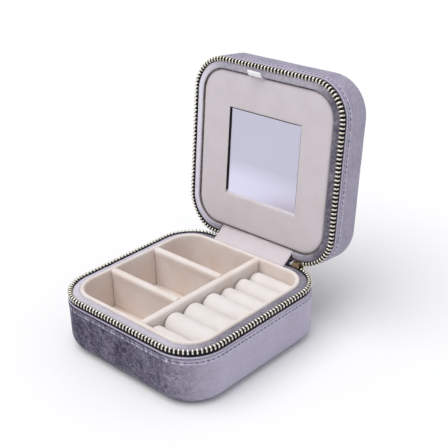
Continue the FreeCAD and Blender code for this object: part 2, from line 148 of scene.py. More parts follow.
def loft(rows_of_points, round_trip, closed_section):
    """Quads between neighbouring sections; open runs of closed sections get end faces."""
    points = [point for row in rows_of_points for point in row]
    columns = len(rows_of_points)
    rows = len(rows_of_points[0])
    faces = []
    for i in range(columns if round_trip else columns - 1):
        j = (i + 1) % columns
        for k in range(rows if closed_section else rows - 1):
            m = (k + 1) % rows
            faces.append((i * rows + k, j * rows + k, j * rows + m, i * rows + m))
    if closed_section and not round_trip:
        faces.append(tuple(range(rows)))
        faces.append(tuple(reversed(range((columns - 1) * rows, columns * rows))))
    return points, faces


def capped_loft(sections):
    """Quads round a closed trip of open sections, with a face over each end of the sections."""
    points, faces = loft(sections, True, False)
    rows = len(sections[0])
    for row in (0, rows - 1):
        faces.append(tuple(index * rows + row for index in range(len(sections))))
    return points, faces


def bowl(rows_at, places):
    """Carry open rows round the outline. rows_at(distance) gives (inset, height, scale) triples."""
    sections = []
    for distance in places:
        wall, out = wall_place(distance)
        section = []
        for inset, z, scale in rows_at(distance):
            spot = (wall - out * inset) * scale
            section.append(Vector((spot.x, spot.y, z)))
        sections.append(section)
    return capped_loft(sections)


def swept(profile_at, places, round_trip):
    """Carry a closed section round the outline. profile_at(distance) gives (inset, height) pairs."""
    sections = []
    for distance in places:
        wall, out = wall_place(distance)
        section = []
        for inset, z in profile_at(distance):
            spot = wall - out * inset
            section.append(Vector((spot.x, spot.y, z)))
        sections.append(section)
    return loft(sections, round_trip, True)


def arc(centre_x, centre_z, radius, start, end, steps):
    """Points on a circle in a section, angles in degrees."""
    spots = []
    for index in range(steps + 1):
        angle = math.radians(start + (end - start) * index / steps)
        spots.append((centre_x + radius * math.cos(angle), centre_z + radius * math.sin(angle)))
    return spots


# ---- making a piece

def soften(mesh, amount, wavelength, seed):
    """Push points along their normals by smooth noise, in millimetres, so nothing is dead flat."""
    shift = Vector((seed * 17.3, seed * 5.9, seed * 11.1))
    moves = []
    for vertex in mesh.vertices:
        value = noise.noise(vertex.co / wavelength + shift)
        value += 0.5 * noise.noise(vertex.co / (wavelength * 0.45) - shift)
        moves.append(vertex.co + vertex.normal * (amount * value))
    for vertex, place in zip(mesh.vertices, moves):
        vertex.co = place


def tidy_normals(mesh):
    work = bmesh.new()
    work.from_mesh(mesh)
    bmesh.ops.recalc_face_normals(work, faces=work.faces)
    work.to_mesh(mesh)
    work.free()
    mesh.update()


def set_tone(mesh, tone_at):
    """Store how light the cloth looks at each point, from 0 to 1, for the materials."""
    attribute = mesh.attributes.get("tone") or mesh.attributes.new("tone", "FLOAT", "POINT")
    attribute.data.foreach_set("value", [tone_at(vertex.co) for vertex in mesh.vertices])


def make_mesh(name, points, faces, softness=0.0, wavelength=9.0, seed=1, tone_at=None):
    mesh = bpy.data.meshes.new(name)
    mesh.from_pydata([tuple(point) for point in points], [], faces)
    tidy_normals(mesh)
    set_tone(mesh, tone_at or (lambda point: 1.0))
    if softness:
        soften(mesh, softness, wavelength, seed)
    mesh.shade_smooth()
    return mesh


def place_mesh(mesh, material, node, body=None, trim=None):
    """Turn a finished mesh in millimetres into a piece of the model that rides on a body. The
    lid's and the flap's meshes are drawn closed and are turned open here."""
    if body in ("lid", "mirror_flap"):
        mesh.transform(OPENED)
    mesh.transform(Matrix.Scale(MM, 4))
    mesh.materials.append(material)
    if trim:
        mesh.materials.append(trim)
    piece = bpy.data.objects.new(mesh.name, mesh)
    bpy.context.scene.collection.objects.link(piece)
    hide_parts(node)
    if body:
        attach(piece, body)
    return piece


def join_copies(points, faces, transforms):
    """Mesh data of many copies of one small shape."""
    all_points = []
    all_faces = []
    for transform in transforms:
        first = len(all_points)
        all_points.extend(transform @ point for point in points)
        all_faces.extend(tuple(first + index for index in face) for face in faces)
    return all_points, all_faces


# ---- materials

class Shader:
    """A small helper to build a node material."""

    def __init__(self, name):
        self.material = bpy.data.materials.new(name)
        self.material.use_nodes = True
        self.tree = self.material.node_tree
        self.surface = self.tree.nodes["Principled BSDF"]

    def node(self, kind, **values):
        made = self.tree.nodes.new(kind)
        for key, value in values.items():
            if key in made.inputs:
                made.inputs[key].default_value = value
            else:
                setattr(made, key, value)
        return made

    def link(self, source, target):
        self.tree.links.new(source, target)

    def set(self, **values):
        for key, value in values.items():
            self.surface.inputs[key.replace("_", " ")].default_value = value

    def place(self):
        return self.node("ShaderNodeTexCoord").outputs["Object"]

    def noise(self, scale, detail=2.0, roughness=0.5, stretch=None):
        made = self.node("ShaderNodeTexNoise", Scale=scale, Detail=detail, Roughness=roughness)
        where = self.place()
        if stretch:
            mapping = self.node("ShaderNodeMapping", Scale=stretch)
            self.link(where, mapping.inputs["Vector"])
            where = mapping.outputs["Vector"]
        self.link(where, made.inputs["Vector"])
        return made.outputs["Fac"]

    def ramp(self, factor, *stops):
        made = self.node("ShaderNodeValToRGB")
        elements = made.color_ramp.elements
        while len(elements) < len(stops):
            elements.new(0.5)
        for element, (position, colour) in zip(elements, stops):
            element.position = position
            element.color = (*colour, 1.0)
        self.link(factor, made.inputs["Fac"])
        return made.outputs["Color"]

    def math(self, operation, first, second, clamp=False):
        made = self.node("ShaderNodeMath", operation=operation, use_clamp=clamp)
        for socket, value in zip(made.inputs, (first, second)):
            if isinstance(value, (int, float)):
                socket.default_value = value
            else:
                self.link(value, socket)
        return made.outputs["Value"]

    def bump(self, height, strength, distance, below=None):
        made = self.node("ShaderNodeBump", Strength=strength, Distance=distance)
        self.link(height, made.inputs["Height"])
        if below:
            self.link(below, made.inputs["Normal"])
        return made.outputs["Normal"]

    def colour(self, socket):
        self.link(socket, self.surface.inputs["Base Color"])

    def normal(self, socket):
        self.link(socket, self.surface.inputs["Normal"])

    def roughness(self, socket):
        self.link(socket, self.surface.inputs["Roughness"])


def velvet(name, deep, pale, mottle, sheen):
    """Short pile: light or dark with the pile's lie and with painted light and shade from the tone
    attribute, mottled where the pile lies both ways.
    """
    shader = Shader(name)
    # The tone attribute: the pile's lie together with painted light and shade
    nap_and_light = shader.node("ShaderNodeAttribute", attribute_name="tone").outputs["Fac"]
    patches = shader.math("SUBTRACT", shader.noise(85.0, 4.0, 0.6), 0.5)
    brushing = shader.math("SUBTRACT", shader.noise(420.0, 2.0, 0.6), 0.5)
    specks = shader.math("SUBTRACT", shader.noise(1300.0, 1.0, 0.5), 0.5)
    rough_side = shader.math("SUBTRACT", 1.25, nap_and_light)
    level = shader.math("MULTIPLY", patches, mottle * 0.9)
    level = shader.math("ADD", level, shader.math("MULTIPLY", brushing, mottle * 0.8))
    level = shader.math("ADD", level, shader.math("MULTIPLY", specks, mottle))
    level = shader.math("MULTIPLY", level, rough_side)
    level = shader.math("ADD", level, nap_and_light, clamp=True)
    shader.colour(shader.ramp(level, (0.0, deep), (1.0, pale)))
    shader.set(Roughness=0.85, Sheen_Weight=sheen, Sheen_Roughness=0.35, Specular_IOR_Level=0.15)
    shader.surface.inputs["Sheen Tint"].default_value = (0.80, 0.78, 0.92, 1.0)
    pile = shader.bump(shader.noise(2600.0, 2.0, 0.6), 0.35, 0.00025)
    shader.normal(shader.bump(patches, 0.3, 0.0006, below=pile))
    return shader.material


def cream(name, seam, shade, light, sheen=0.25):
    """Short cream pile with a faint uneven tone, and painted brown shade where it is tucked into a seam or
    lies in shade.
    """
    shader = Shader(name)
    blotches = shader.noise(90.0, 3.0, 0.55)
    specks = shader.math("MULTIPLY", shader.noise(900.0), 0.3)
    tone = shader.math("ADD", blotches, specks)
    # The tone attribute lowers the cream towards the shade and seam stops: painted shade
    painted_shade_factor = shader.node("ShaderNodeAttribute", attribute_name="tone").outputs["Fac"]
    tone = shader.math("MULTIPLY", tone, painted_shade_factor)
    shader.colour(shader.ramp(tone, (0.0, seam), (0.27, shade), (0.8, light)))
    shader.set(Roughness=0.9, Sheen_Weight=sheen, Sheen_Roughness=0.5, Specular_IOR_Level=0.1)
    shader.surface.inputs["Sheen Tint"].default_value = (1.0, 0.95, 0.93, 1.0)
    pile = shader.bump(shader.noise(2400.0, 2.0, 0.6), 0.25, 0.0002)
    shader.normal(shader.bump(shader.noise(320.0), 0.2, 0.0004, below=pile))
    return shader.material


def metal(name, tarnish, bright, low_roughness, high_roughness):
    """Plated metal with faint tarnish and uneven polish."""
    shader = Shader(name)
    wear = shader.noise(420.0, 4.0, 0.6)
    shader.colour(shader.ramp(wear, (0.3, tarnish), (0.62, bright)))
    polish = shader.node("ShaderNodeMapRange")
    polish.inputs["To Min"].default_value = low_roughness
    polish.inputs["To Max"].default_value = high_roughness
    shader.link(wear, polish.inputs["Value"])
    shader.roughness(polish.outputs["Result"])
    shader.set(Metallic=1.0)
    shader.normal(shader.bump(shader.noise(1800.0), 0.08, 0.0001))
    return shader.material


def woven_tape():
    """Dark zip tape with a fine weave."""
    shader = Shader("zip_tape")
    weave = shader.node("ShaderNodeTexWave", Scale=900.0, Distortion=1.5, bands_direction="DIAGONAL")
    shader.link(shader.place(), weave.inputs["Vector"])
    tone = shader.math("MULTIPLY", weave.outputs["Fac"], shader.noise(700.0))
    shader.colour(shader.ramp(tone, (0.0, (0.008, 0.008, 0.009)), (0.7, (0.035, 0.034, 0.038))))
    shader.set(Roughness=0.9, Specular_IOR_Level=0.1)
    shader.normal(shader.bump(weave.outputs["Fac"], 0.4, 0.0002))
    return shader.material


def sewing_thread():
    """Twisted thread, a little darker than the velvet."""
    shader = Shader("thread")
    twist = shader.node("ShaderNodeTexWave", Scale=1100.0, Distortion=0.6, bands_direction="DIAGONAL")
    shader.link(shader.place(), twist.inputs["Vector"])
    tone = shader.math("ADD", shader.math("MULTIPLY", twist.outputs["Fac"], 0.6), shader.noise(300.0))
    shader.colour(shader.ramp(tone, (0.35, (0.035, 0.03, 0.06)), (1.0, (0.22, 0.21, 0.31))))
    shader.set(Roughness=0.6, Sheen_Weight=0.2)
    shader.normal(shader.bump(twist.outputs["Fac"], 0.5, 0.0001))
    return shader.material


def mirror_with_painted_reflection(low_z, high_z):
    """Mirror glass with a faint blue-grey silvering and a painted reflection that is lighter towards its
    foot.
    """
    shader = Shader("mirror")
    parts = shader.node("ShaderNodeSeparateXYZ")
    shader.link(shader.place(), parts.inputs["Vector"])
    height = shader.node("ShaderNodeMapRange")
    height.inputs["From Min"].default_value = low_z
    height.inputs["From Max"].default_value = high_z
    shader.link(parts.outputs["Z"], height.inputs["Value"])
    reflection_wobble = shader.math("MULTIPLY", shader.math("SUBTRACT", shader.noise(30.0), 0.5), 0.08)
    level = shader.math("ADD", height.outputs["Result"], reflection_wobble)
    # Painted reflection: light low on the glass, darker above, with a noisy edge
    shader.colour(shader.ramp(level, (0.0, (0.76, 0.745, 0.92)), (0.22, (0.74, 0.725, 0.89)),
                              (0.42, (0.58, 0.57, 0.69)), (1.0, (0.575, 0.57, 0.69))))
    shader.set(Metallic=1.0, Roughness=0.26)
    return shader.material


def satin_ribbon():
    shader = Shader("ribbon")
    ribs = shader.node("ShaderNodeTexWave", Scale=700.0, Distortion=0.3, bands_direction="X")
    shader.link(shader.place(), ribs.inputs["Vector"])
    sheen = shader.noise(200.0)
    shader.colour(shader.ramp(sheen, (0.3, (0.90, 0.895, 0.92)), (0.7, (0.97, 0.965, 0.98))))
    shader.set(Roughness=0.42, Sheen_Weight=0.3, Specular_IOR_Level=0.5)
    shader.normal(shader.bump(ribs.outputs["Fac"], 0.15, 0.0001))
    return shader.material


def pressed_board():
    shader = Shader("board")
    fibres = shader.noise(500.0, 5.0, 0.7, stretch=(1.0, 0.3, 1.0))
    shader.colour(shader.ramp(fibres, (0.3, (0.20, 0.18, 0.16)), (0.7, (0.34, 0.31, 0.28))))
    shader.set(Roughness=0.85)
    shader.normal(shader.bump(fibres, 0.3, 0.0002))
    return shader.material


def closed_cell_foam():
    shader = Shader("foam")
    cells = shader.node("ShaderNodeTexVoronoi", Scale=900.0)
    shader.link(shader.place(), cells.inputs["Vector"])
    depth = cells.outputs["Distance"]
    shader.colour(shader.ramp(depth, (0.0, (0.62, 0.60, 0.55)), (0.8, (0.80, 0.78, 0.73))))
    shader.set(Roughness=0.9)
    shader.normal(shader.bump(depth, 0.4, 0.0004))
    return shader.material


def recess_shade():
    """Painted shade: near-black cloth for the window's wall round the mirror, where the recess is in
    shadow.
    """
    shader = Shader("recess_shade")
    fibres = shader.noise(800.0)
    shader.colour(shader.ramp(fibres, (0.3, (0.006, 0.005, 0.006)), (0.7, (0.03, 0.026, 0.028))))
    shader.set(Roughness=0.95, Specular_IOR_Level=0.05)
    return shader.material


VELVET = velvet("lavender_velvet", (0.035, 0.028, 0.056), (0.55, 0.515, 0.645), 0.7, 0.15)
BAND_VELVET = velvet("rim_velvet", (0.10, 0.09, 0.125), (0.78, 0.745, 0.85), 0.4, 0.15)
# Painted shade: the tray's cream is a darker, warmer copy of the rolls' cream, for the shade and bounced
# light inside the tray
CREAM = cream("cream_velvet", (0.06, 0.03, 0.02), (0.76, 0.635, 0.555), (0.82, 0.76, 0.735))
ROLL_CREAM = cream("roll_velvet", (0.10, 0.06, 0.05), (0.72, 0.67, 0.635), (0.79, 0.75, 0.73))
PANEL_CREAM = cream("panel_velvet", (0.08, 0.06, 0.06), (0.60, 0.545, 0.565), (0.66, 0.605, 0.635), 0.2)
NICKEL = metal("pale_nickel", (0.66, 0.62, 0.50), (0.95, 0.93, 0.84), 0.2, 0.38)
BRASS = metal("antique_brass", (0.30, 0.20, 0.10), (0.82, 0.64, 0.40), 0.35, 0.55)
TAPE = woven_tape()
THREAD = sewing_thread()
RIBBON = satin_ribbon()
BOARD = pressed_board()
FOAM = closed_cell_foam()
RECESS_SHADE = recess_shade()


def nap_and_light_towards(direction, middle, swing, drift=0.0, floor=0.0):
    """The pile is painted lightest on walls that face a direction, darkest on the opposite ones, and
    may drift from dark at the left to light at the right: partly the pile's lie, partly painted light and
    shade."""
    aim = Vector(direction).normalized()

    def tone_at(point):
        lie = middle + swing * outward(point.x, point.y).dot(aim)
        return max(floor, lie + drift * point.x)

    return tone_at


# Tones of the covers and rim bands by the way they face: partly the pile's lie, partly painted light and
# shade
BASE_NAP_AND_LIGHT = nap_and_light_towards((0.7, 0.7), 0.45, 0.42, drift=0.003, floor=0.13)
LID_NAP_AND_LIGHT = nap_and_light_towards((0.9, -0.45), 0.59, 0.11)
BASE_BAND_NAP_AND_LIGHT = nap_and_light_towards((-0.75, -0.66), 0.41, 0.36, floor=0.21)
LID_BAND_NAP_AND_LIGHT = nap_and_light_towards((-1.0, 0.0), 0.46, 0.50, floor=0.08)


# ---- velvet shells

def across_middle(height, rings):
    """Rows that close a flat, each a smaller copy of the loop where the flat begins."""
    return [(FLAT_INSET, height, 1 - 0.97 * index / rings) for index in range(rings + 1)]


def shell_section(depth, edge, distance):
    """(inset, drop from the zip line, scale) from the inside of the flat to the outside of it."""
    inner_edge = edge - COVER_THICKNESS
    pull = 0.5 + 0.5 * math.cos(2 * math.pi * (distance - ZIP_START) / STITCH_PITCH)
    groove = 0.14 + 0.16 * pull
    section = list(reversed(across_middle(depth - COVER_THICKNESS, 3)))
    inside = [(edge - x, depth - edge + z) for x, z in arc(0, 0, inner_edge, 90, 0, 4)]
    section += [(inset, drop, 1) for inset, drop in inside]
    seam = [(1.0, 5.2), (1.0, 4.1), (0.95, 3.65), (0.75, 3.4), (0.42, 3.26), (0.12, 3.32)]
    seam += [(-0.12, 3.52), (-0.16, 3.78), (-0.06, 3.98), (0.14, 4.14), (0.22, 4.28), (0.1, 4.42)]
    puffed_strip = [(-0.08, 4.6), (-0.2, 4.9), (-0.2, 5.3), (-0.08, 5.7)]
    stitched = [(groove * 0.7, 5.98), (groove, STITCH_LINE), (groove * 0.6, 6.45)]
    swell_end = 11.0
    below = [(-0.08, 6.85), (-0.14, 7.5), (-0.13, 8.4), (-0.08, 9.6), (-0.03, swell_end)]
    section += [(inset, drop, 1) for inset, drop in seam + puffed_strip + stitched + below]
    wall_end = depth - edge
    section += [(0, swell_end + (wall_end - swell_end) * step / 4, 1) for step in range(1, 4)]
    outside = [(edge - x, wall_end + z) for x, z in arc(0, 0, edge, 0, 90, 7)]
    section += [(inset, drop, 1) for inset, drop in outside]
    section += [((edge + FLAT_INSET) / 2, depth, 1)]
    return section + across_middle(depth, 8)


def velvet_shell(name, side, depth, edge, nap_and_light_at, seed):
    """The covered shell, with painted highlights in bright flecks beside the stitches and painted shade in
    its crease and stitch groove.
    """

    def beside(drop, line, reach):
        return max(0.0, 1 - abs(drop - line) / reach)

    def tone_at(point):
        drop = abs(point.z - PARTING)
        around = math.atan2(point.y, point.x) * OUTLINE / (2 * math.pi)
        # Painted highlights: patchy light flecks on the puckered pile above and below the stitch row
        highlight_patchiness = max(0.0, 0.35 + 1.5 * noise.noise(Vector((around / 1.7, side, seed))))
        above = beside(drop, FLECK_LINE, FLECK_REACH)
        below = 1.1 * beside(drop, 2 * STITCH_LINE - FLECK_LINE, FLECK_REACH)
        light = 1.5 * highlight_patchiness * (above + below)
        # Painted highlight along the cover's rolled bead
        light += 0.9 * beside(drop, FOLD_LINE - 0.6, 0.7)
        # Painted shade in the crease under the bead and in the stitch groove
        dark = 0.5 * beside(drop, FOLD_LINE, 0.35) + 0.4 * beside(drop, STITCH_LINE, 0.35)
        return nap_and_light_at(point) + light - dark

    def rows_at(distance):
        rows = shell_section(depth, edge, distance)
        return [(inset, PARTING + side * drop, scale) for inset, drop, scale in rows]

    points, faces = bowl(rows_at, places_round(STITCH_PITCH / 3))
    return make_mesh(name, points, faces, 0.09, 12.0, seed, tone_at)


place_mesh(velvet_shell("base_velvet", BASE_SIDE, BASE_DEPTH, BASE_EDGE, BASE_NAP_AND_LIGHT, 1),
           VELVET, "base_cover", "base")
place_mesh(velvet_shell("lid_velvet", LID_SIDE, LID_DEPTH, LID_EDGE, LID_NAP_AND_LIGHT, 2),
           VELVET, "lid_cover", "lid")


# ---- rim bands and zip

def mirrored_for(side, pairs):
    """Section pairs of (inset, drop) as (inset, height) on one side of the zip line."""
    return [(inset, PARTING + side * drop) for inset, drop in pairs]


def rim_band(name, side, seed, nap_and_light_at):
    """The covered rim between zip and lining, rolled over at its outer edge."""
    rolled = [(2.45, 2.15), (2.3, 1.85), (2.3, 1.5), (2.42, 1.15), (2.7, 0.82), (3.2, 0.58)]
    crown = [(3.8, 0.42), (4.4, 0.32), (5.1, 0.28), (5.6, 0.3), (6.0, 0.42), (6.08, 0.7)]
    underneath = [(6.0, 1.35), (4.6, 1.6), (3.2, 1.9)]
    pairs = rolled + crown + underneath
    gap = STRIP_HALF + 0.6
    places = places_between(gap, OUTLINE - gap, 1.8)
    points, faces = swept(lambda distance: mirrored_for(side, pairs), places, False)
    return make_mesh(name, points, faces, 0.10, 6.0, seed, nap_and_light_at)


def zip_tape(name, side, end):
    """Woven tape that steps out to a corded edge under the teeth."""
    cord = [(2.05, 2.2), (2.2, 1.65), (2.05, 1.05), (1.65, 0.78), (1.2, 0.72), (0.75, 0.8)]
    cord += [(0.42, 1.05), (0.3, 1.45), (0.3, 2.0), (0.32, 2.6), (0.45, 3.05), (0.8, 3.2)]
    pairs = [(1.5, 7.9), (1.5, 2.6)] + cord + [(1.1, 3.4), (1.1, 7.9)]

    def section(distance):
        ripple = 0.03 * math.sin(2 * math.pi * distance / (TOOTH_PITCH / 2))
        return mirrored_for(side, [(inset + ripple, drop) for inset, drop in pairs])

    points, faces = swept(section, places_between(ZIP_START, end, 1.1), False)
    return make_mesh(name, points, faces)


def zip_tooth():
    """A hook round the tape's edge, along +X outwards from the wall at the zip line: its head
    is round and full, its tail thinner."""
    centre_inset, centre_drop, middle_radius = 1.25, 1.0, 1.2
    tail, head = -52.0, 150.0
    rings, sides = 11, 8
    points = []
    for ring in range(rings + 1):
        share = ring / rings
        angle = math.radians(tail + (head - tail) * share)
        taper = math.sqrt(max(0.0, 1 - (2 * share - 1) ** 6))
        thick = (0.30 + 0.12 * share) * max(taper, 0.25)
        wide = (0.46 + 0.06 * share) * max(taper, 0.35)
        for step in range(sides):
            turn = 2 * math.pi * step / sides
            radius = middle_radius + thick * math.cos(turn)
            x = -centre_inset + radius * math.cos(angle)
            z = -centre_drop + radius * math.sin(angle)
            points.append(Vector((x, wide * math.sin(turn), z)))
    faces = []
    for ring in range(rings):
        for step in range(sides):
            following = (step + 1) % sides
            a, b = ring * sides + step, ring * sides + following
            faces.append((a, b, b + sides, a + sides))
    faces.append(tuple(reversed(range(sides))))
    faces.append(tuple(range(rings * sides, (rings + 1) * sides)))
    return points, faces


def on_wall(distance, drop, side):
    """Transform that puts a shape drawn along +X at the wall, mirrored for the lid's side."""
    wall, out = wall_place(distance)
    place = Matrix.Translation((wall.x, wall.y, PARTING + side * drop))
    turn = Matrix.Rotation(math.atan2(out.y, out.x), 4, "Z")
    return place @ turn @ Matrix.Diagonal((1, 1, -side, 1))


def tooth_row(name, side, start, indices):
    transforms = [on_wall(start + index * TOOTH_PITCH, 0, side) for index in indices]
    points, faces = join_copies(*zip_tooth(), transforms)
    return make_mesh(name, points, faces)


TEETH_START = ZIP_START + 0.95
TEETH_END = OUTLINE - CENTRE - 4.3     # beside the parked slider, where the lid's tape ends too
BASE_TEETH = int((TEETH_END - TEETH_START) // TOOTH_PITCH) + 1
LID_START = TEETH_START + TOOTH_PITCH / 2
LID_TEETH = int((TEETH_END - LID_START) // TOOTH_PITCH) + 1
MOUTH_TEETH = 2


def stitch():
    """One sewn stitch: a short thread that dips into the cloth at both ends."""
    half, radius, rings, sides = 0.95, 0.24, 6, 6
    sections = []
    for ring in range(rings + 1):
        along = -1 + 2 * ring / rings
        size = radius * math.sqrt(max(0.05, 1 - along ** 4))
        dip = -0.16 * along ** 2
        section = []
        for step in range(sides):
            turn = 2 * math.pi * step / sides
            section.append(Vector((dip + size * math.cos(turn), half * along, size * math.sin(turn))))
        sections.append(section)
    return loft(sections, False, True)


def stitch_row(name, side):
    count = int((OUTLINE - 2 * ZIP_START) // STITCH_PITCH) + 1
    places = [ZIP_START + index * STITCH_PITCH for index in range(count)]
    transforms = [on_wall(place, STITCH_LINE, side) for place in places]
    points, faces = join_copies(*stitch(), transforms)
    return make_mesh(name, points, faces)


for body, side, seed, nap_and_light_at, tape_end in (("base", BASE_SIDE, 3, BASE_BAND_NAP_AND_LIGHT, OUTLINE - ZIP_START),
                                           ("lid", LID_SIDE, 4, LID_BAND_NAP_AND_LIGHT, TEETH_END)):
    place_mesh(rim_band(body + "_band", side, seed, nap_and_light_at), BAND_VELVET, body + "_rim_band", body)
    place_mesh(zip_tape(body + "_tape", side, tape_end), TAPE, body + "_zip_tape", body)
    place_mesh(stitch_row(body + "_stitches", side), THREAD, body + "_stitching", body)
for name, node, body, side, start, indices in (
        ("base_teeth", "base_zip_teeth", "base", BASE_SIDE, TEETH_START, range(BASE_TEETH)),
        ("lid_teeth", "lid_zip_teeth", "lid", LID_SIDE, LID_START, range(LID_TEETH - MOUTH_TEETH)),
        ("lid_mouth_teeth", "lid_zip_mouth_teeth", "lid", LID_SIDE, LID_START,
         range(LID_TEETH - MOUTH_TEETH, LID_TEETH))):
    place_mesh(tooth_row(name, side, start, indices), NICKEL, node, body)


# ---- tray, dividers and floor

def painted_depth_shade(top):
    """Painted shade: tray cloth is darker and tan in the depth and pale on top."""

    def tone_at(point):
        return 0.86 + 0.14 * max(0.0, min(1.0, (point.z - top + 2.5) / 2.5))

    return tone_at


def tray_lining():
    """The padded wall round the tray, with a soft round rim."""
    low, high = box_mm("tray_wall")
    inset = HALF - high.x
    wall = 2.3
    radius = wall / 2
    shoulder = high.z - radius
    inner = [(inset + wall, low.z + (shoulder - low.z) * step / 11) for step in range(11)]
    rim = arc(inset + radius, shoulder, radius, 0, 180, 8)
    outer = [(inset, shoulder - (shoulder - low.z) * step / 4) for step in range(1, 5)]
    pairs = inner + rim + outer
    points, faces = swept(lambda distance: pairs, places_round(2.0), True)
    return make_mesh("tray_lining", points, faces, 0.12, 8.0, 5, painted_depth_shade(high.z))


def padded_board(length, thickness, low, high):
    """A stiff board wrapped in padded cloth, along X from 0, with a round top and soft ends."""
    radius = thickness / 2
    shoulder = high - radius
    ends = [0, 0.15, 0.4, 0.9, 1.8]
    count = round(length / 2.2)
    middle = [1.8 + (length - 3.6) * index / count for index in range(1, count)]
    stations = ends + middle + [length - end for end in reversed(ends)]
    sections = []
    for station in stations:
        reach = min(1.0, min(station, length - station) / 0.9)
        narrow = 1 - 0.28 * (1 - math.sqrt(1 - (1 - reach) ** 2))
        belly = 1 + 0.03 * math.sin(math.pi * station / length)
        half = radius * narrow * belly
        top = []
        for step in range(9):
            angle = math.pi * step / 8
            across = half * math.copysign(abs(math.cos(angle)) ** 0.6, math.cos(angle))
            top.append((across, shoulder + radius * math.sin(angle) ** 0.6))
        rows = 9
        right = []
        for row in range(rows):
            z = low + 0.3 + (shoulder - low - 0.3) * row / rows
            waist = 0.72 + 0.28 * max(0.0, 1 - (shoulder - z) / 4.0) ** 2
            right.append((half * waist, z))
        left = [(-across, z) for across, z in reversed(right)]
        pairs = [(half * 0.7, low)] + right + top + left + [(-half * 0.7, low)]
        sections.append([Vector((station, across, z)) for across, z in pairs])
    return loft(sections, False, True)


def divider_piece(name, node, body, seed):
    """A padded divider with a painted brown shade line where its left end is tucked against the wall."""
    low, high = box_mm(node)
    size = high - low
    along_y = size.y > size.x
    length, thickness = (size.y, size.x) if along_y else (size.x, size.y)
    points, faces = padded_board(length, thickness, low.z, high.z)
    if along_y:
        middle = (low.x + high.x) / 2
        points = [Vector((middle - point.y, low.y + point.x, point.z)) for point in points]
    else:
        middle = (low.y + high.y) / 2
        points = [Vector((low.x + point.x, middle + point.y, point.z)) for point in points]
    seam_x = low.x if not along_y else -HALF

    depth_shade = painted_depth_shade(high.z)

    def tone_at(point):
        # Painted shade: dark brown in the joint at the left end, wider near the floor
        reach = 0.5 + 0.6 * max(0.0, 1 - (point.z - low.z) / 1.5)
        tucked = min(1.0, max(0.15, (point.x - seam_x) / reach)) if point.z < high.z - 2 else 1.0
        # Painted light: the long divider's face towards the rolls keeps its pale tone, without the painted
        # depth shade
        if along_y and point.x > middle:
            return tucked
        return depth_shade(point) * tucked

    mesh = make_mesh(name, points, faces, 0.09, 7.0, seed, tone_at)
    return place_mesh(mesh, CREAM, node, body)


def cushion(outline, low, high, edge, crown):
    """A flat pad: a convex outline with rounded edges and a slightly crowned top."""
    middle = sum(outline, Vector((0, 0))) / len(outline)
    count = len(outline)
    inwards = []
    for index, spot in enumerate(outline):
        along = outline[(index + 1) % count] - outline[index - 1]
        side = Vector((-along.y, along.x)).normalized()
        inwards.append(side if side.dot(middle - spot) > 0 else -side)
    steps = [(edge, low, 1.0), (0.0, low + edge, 1.0), (0.0, high - edge, 1.0)]
    for turn in (0.5, 1.05, 1.57):
        steps.append((edge * (1 - math.cos(turn)), high - edge * (1 - math.sin(turn)), 1.0))
    for share in (0.93, 0.82, 0.66, 0.5, 0.33, 0.16, 0.04):
        steps.append((edge, high + crown * (1 - share ** 2), share))
    sections = [[] for _ in range(count)]
    for inset, z, share in [(edge, low, 0.04), (edge, low, 0.5)] + steps:
        for index, spot in enumerate(outline):
            moved = middle + (spot + inwards[index] * inset - middle) * share
            sections[index].append(Vector((moved.x, moved.y, z)))
    return capped_loft(sections)


def outline_at_inset(inset):
    spots = []
    for distance in places_round(2.5):
        wall, out = wall_place(distance)
        spots.append(wall - out * inset)
    return spots


def tray_pad(name, node, edge, crown, material, seed):
    low, high = box_mm(node)
    points, faces = cushion(outline_at_inset(HALF - high.x), low.z, high.z, edge, crown)
    # Painted shade: the floor pad's cloth is held darker, as shade at the bottom of the tray
    mesh = make_mesh(name, points, faces, 0.06, 8.0, seed, lambda point: 0.72)
    return place_mesh(mesh, material, node, "base")


def ring_bed():
    """The pad under the ring rolls fills the right part of the tray."""
    low, high = box_mm("ring_bed")
    inset = HALF - high.x
    spots = [spot for spot in outline_at_inset(inset) if spot.x > low.x + 0.5]
    spots.sort(key=lambda spot: math.atan2(spot.y, spot.x - low.x))
    depth = HALF - inset
    count = 24
    spots += [Vector((low.x, depth * (1 - 2 * index / count))) for index in range(count + 1)]
    points, faces = cushion(spots, low.z, high.z - 0.2, 0.6, 0.1)
    mesh = make_mesh("ring_bed_pad", points, faces, 0.05, 8.0, 9)
    return place_mesh(mesh, CREAM, "ring_bed", "base")


place_mesh(tray_lining(), CREAM, "tray_wall", "base")
divider_piece("long_divider_pad", "long_divider", "base", 6)
divider_piece("front_divider_pad", "cross_divider_front", "divider_front", 7)
divider_piece("back_divider_pad", "cross_divider_back", "divider_back", 8)
tray_pad("tray_floor_pad", "tray_floor", 0.5, 0.05, CREAM, 10)
tray_pad("tray_foam", "tray_underlay", 0.6, 0.0, FOAM, 11)
ring_bed()


# ---- ring rolls, from one pattern

SOLVER_SCALE = 25.0        # how many times its real size the roll has in the cloth solver
ROLL_LENGTH = 30.0         # the pattern roll; every roll is stretched from it
ROLL_RADIUS = 5.85
ROLL_TUCK = 0.6            # the rolls' ends reach under the divider's padded top


def plain_roll():
    """A roll along X, drawn a little thin, whose ends round off."""
    sections = []
    count, sides = 30, 28
    thin = ROLL_RADIUS * 0.95
    for index in range(count + 1):
        along = -math.cos(math.pi * index / count)
        size = thin * (1 - abs(along) ** 24) ** 0.42
        section = []
        for step in range(sides):
            turn = 2 * math.pi * step / sides
            spot = Vector((along * ROLL_LENGTH * 0.49, size * math.cos(turn), size * math.sin(turn)))
            section.append(spot)
        sections.append(section)
    return loft(sections, False, True)


